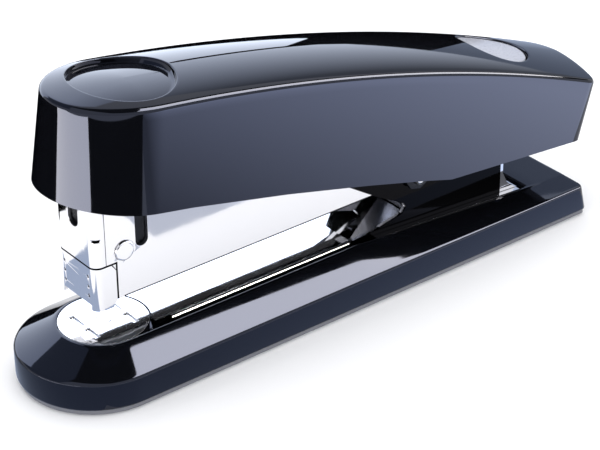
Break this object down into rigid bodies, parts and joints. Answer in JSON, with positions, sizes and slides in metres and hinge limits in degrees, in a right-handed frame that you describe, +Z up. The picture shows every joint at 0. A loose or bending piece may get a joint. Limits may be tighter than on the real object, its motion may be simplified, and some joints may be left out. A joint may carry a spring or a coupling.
{
  "type": "stapler",
  "caption": "Full-strip desktop stapler: black arched cover over a chromed magazine and head, front-loading staple drawer, turning anvil, rear release button.",
  "frame": {"origin": "middle of the footprint, on the surface the stapler stands on", "axes": "+X from the front (staple end) to the rear (hinge end), +Y across, +Z up"},
  "size_m": [0.1925, 0.045, 0.0873],
  "materials": {
    "gloss_black": "polished moulded plastic",
    "sole_rubber": "soft matt rubber",
    "chromed_steel": "bright nickel-chrome plate",
    "zinc_steel": "zinc-plated",
    "bright_pin": "ground bright steel",
    "black_clip": "satin moulded plastic",
    "spring_steel": "oiled spring steel",
    "staple_wire": "galvanised wire, glued",
    "black_nylon": "moulded nylon",
    "black_steel": "black oxide over steel",
    "grey_button": "satin silver-grey lacquer"
  },
  "bodies": {
    "base": {"base_shell": "gloss_black", "base_sole": "sole_rubber", "base_channel": "chromed_steel", "base_screws": "zinc_steel", "channel_nuts": "zinc_steel", "hinge_pin": "bright_pin", "hinge_clips": "black_clip", "return_spring": "spring_steel", "anvil_spring": "spring_steel"},
    "anvil_lift": {"anvil_knob": "black_clip"},
    "anvil": {"anvil_disc": "chromed_steel", "anvil_post": "bright_pin"},
    "magazine": {"magazine_channel": "chromed_steel", "head_plate": "chromed_steel", "head_studs": "chromed_steel", "latch_pin": "bright_pin", "latch_spring": "spring_steel"},
    "drawer": {"drawer_nose": "chromed_steel", "staple_rail": "zinc_steel", "pusher_rod": "bright_pin", "staple_strip": "staple_wire", "drawer_stop": "black_nylon", "pusher_spring": "spring_steel"},
    "pusher": {"staple_pusher": "black_nylon"},
    "driver": {"driver_blade": "black_steel", "driver_bracket": "black_steel", "driver_pin": "bright_pin"},
    "latch": {"latch_lever": "black_nylon"},
    "handle": {"cover_shell": "gloss_black", "lever_frame": "black_steel", "cover_screws": "zinc_steel", "drive_spring": "spring_steel", "handle_spring": "spring_steel", "button_guide": "black_nylon", "button_spring": "spring_steel"},
    "button": {"release_button": "grey_button"}
  },
  "joints": [
    {"name": "magazine_hinge", "type": "hinge", "parent": "base", "child": "magazine", "pos_m": [0.02975, 0, 0.0293], "axis": [0, -1, 0], "range_deg": [0, 4.6], "stiffness_Nm_per_rad": 2, "springref_deg": -14.32, "deforming": ["return_spring"]},
    {"name": "handle_hinge", "type": "hinge", "parent": "magazine", "child": "handle", "pos_m": [0.02975, 0, 0.0293], "axis": [0, -1, 0], "range_deg": [0, 5], "stiffness_Nm_per_rad": 1.2, "springref_deg": -14.32, "deforming": ["handle_spring", "drive_spring"]},
    {"name": "driver_slide", "type": "slide", "parent": "magazine", "child": "driver", "axis": [0, 0, -1], "range_m": [0, 0.0095]},
    {"name": "drawer_slide", "type": "slide", "parent": "magazine", "child": "drawer", "axis": [1, 0, 0], "range_m": [-0.085, 0]},
    {"name": "pusher_slide", "type": "slide", "parent": "drawer", "child": "pusher", "axis": [1, 0, 0], "range_m": [0, 0.055], "stiffness_N_per_m": 30, "springref_m": -0.03, "deforming": ["pusher_spring"]},
    {"name": "button_slide", "type": "slide", "parent": "handle", "child": "button", "axis": [-0.2419, 0, -0.9703], "range_m": [0, 0.002], "stiffness_N_per_m": 400, "springref_m": -0.002, "deforming": ["button_spring"]},
    {"name": "latch_hinge", "type": "hinge", "parent": "magazine", "child": "latch", "pos_m": [0.03825, 0, 0.038], "axis": [0, 1, 0], "range_deg": [0, 4.3], "deforming": ["latch_spring"]},
    {"name": "anvil_lift_slide", "type": "slide", "parent": "base", "child": "anvil_lift", "axis": [0, 0, -1], "range_m": [-0.0025, 0], "stiffness_N_per_m": 300, "springref_m": 0.003, "deforming": ["anvil_spring"]},
    {"name": "anvil_turn", "type": "hinge", "parent": "anvil_lift", "child": "anvil", "pos_m": [-0.07125, 0, 0.0153], "axis": [0, 0, 1], "range_deg": [0, 180]}
  ],
  "couplings": [
    {"joint": "driver_slide", "follows": "handle_hinge", "m_per_rad": 0.1065},
    {"joint": "latch_hinge", "follows": "button_slide", "rad_per_m": 36.5}
  ]
}
